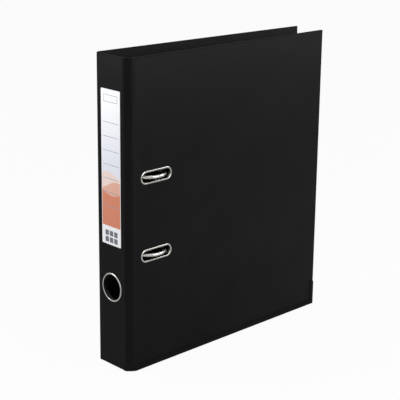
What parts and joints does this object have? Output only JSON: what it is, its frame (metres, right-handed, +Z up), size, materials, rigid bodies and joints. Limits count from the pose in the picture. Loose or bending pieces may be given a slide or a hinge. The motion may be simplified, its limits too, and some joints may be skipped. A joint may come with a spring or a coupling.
{
  "type": "lever arch file",
  "caption": "Black board lever arch file, closed and upright: hinged covers, a spine with a finger ring and label, metal-rimmed slots and a lever arch mechanism.",
  "frame": {"origin": "on the floor under the middle of the closed file's bounding box", "axes": "+Z up along the spine, -X towards the spine's outer face, -Y towards the front cover's outer face"},
  "size_m": [0.2862, 0.0576, 0.318],
  "materials": {
    "greyboard": "plain",
    "black_film": "fine leather grain, satin",
    "fold_film": "smooth, satin",
    "black_lining": "satin",
    "label_paper": "coated",
    "bright_metal": "bright nickel",
    "plated_steel": "nickel plated",
    "black_steel": "black lacquer",
    "black_nylon": "satin"
  },
  "bodies": {
    "back_cover": {"back_board": "greyboard", "back_film": "black_film", "back_lining": "black_lining", "back_edge_guard": "black_steel", "base_plate": "plated_steel", "plate_rivets": "bright_metal", "post_upper": "bright_metal", "post_lower": "bright_metal", "lever_pin": "plated_steel"},
    "back_fold": {"back_fold_strip": "fold_film"},
    "spine": {"spine_board": "greyboard", "spine_film": "black_film", "spine_lining": "black_lining", "spine_label": "label_paper", "finger_ring": "bright_metal", "finger_ring_washer": "bright_metal"},
    "front_fold": {"front_fold_strip": "fold_film"},
    "front_cover": {"front_board": "greyboard", "front_film": "black_film", "front_lining": "black_lining", "front_edge_guard": "black_steel", "slot_eyelet_upper": "bright_metal", "slot_eyelet_lower": "bright_metal"},
    "arch": {"arch_wire": "bright_metal"},
    "lever": {"lever": "plated_steel", "roller_pin": "plated_steel"},
    "roller": {"lever_roller": "plated_steel"},
    "compressor": {"compressor_bar": "plated_steel", "compressor_bushes": "black_nylon"}
  },
  "joints": [
    {"name": "back_fold_crease", "type": "hinge", "parent": "back_cover", "child": "back_fold", "pos_m": [-0.1365, 0.0277, 0.159], "axis": [0, 0, -1], "range_deg": [0, 90]},
    {"name": "spine_back_crease", "type": "hinge", "parent": "back_fold", "child": "spine", "pos_m": [-0.1425, 0.0227, 0.159], "axis": [0, 0, -1], "range_deg": [0, 45]},
    {"name": "spine_front_crease", "type": "hinge", "parent": "spine", "child": "front_fold", "pos_m": [-0.1425, -0.0193, 0.159], "axis": [0, 0, -1], "range_deg": [0, 135]},
    {"name": "cover_crease", "type": "hinge", "parent": "front_fold", "child": "front_cover", "pos_m": [-0.1365, -0.0243, 0.159], "axis": [0, 0, -1], "range_deg": [0, 45]},
    {"name": "lever_hinge", "type": "hinge", "parent": "back_cover", "child": "lever", "pos_m": [-0.106, 0.0138, 0.159], "axis": [0, 0, 1], "range_deg": [0, 75]},
    {"name": "arch_hinge", "type": "hinge", "parent": "back_cover", "child": "arch", "pos_m": [-0.1223, 0.0203, 0.159], "axis": [0, 0, -1], "range_deg": [0, 30]},
    {"name": "roller_spin", "type": "hinge", "parent": "lever", "child": "roller", "pos_m": [-0.11082, 0.01575, 0.159], "axis": [0, 0, 1], "continuous": true},
    {"name": "compressor_slide", "type": "slide", "parent": "back_cover", "child": "compressor", "axis": [0, -1, 0], "range_m": [0, 0.022]}
  ],
  "couplings": [
    {"joint": "spine_back_crease", "follows": "cover_crease", "ratio": 1},
    {"joint": "lever_hinge", "follows": "cover_crease", "ratio": 1.6667},
    {"joint": "arch_hinge", "follows": "cover_crease", "ratio": 0.66667}
  ]
}
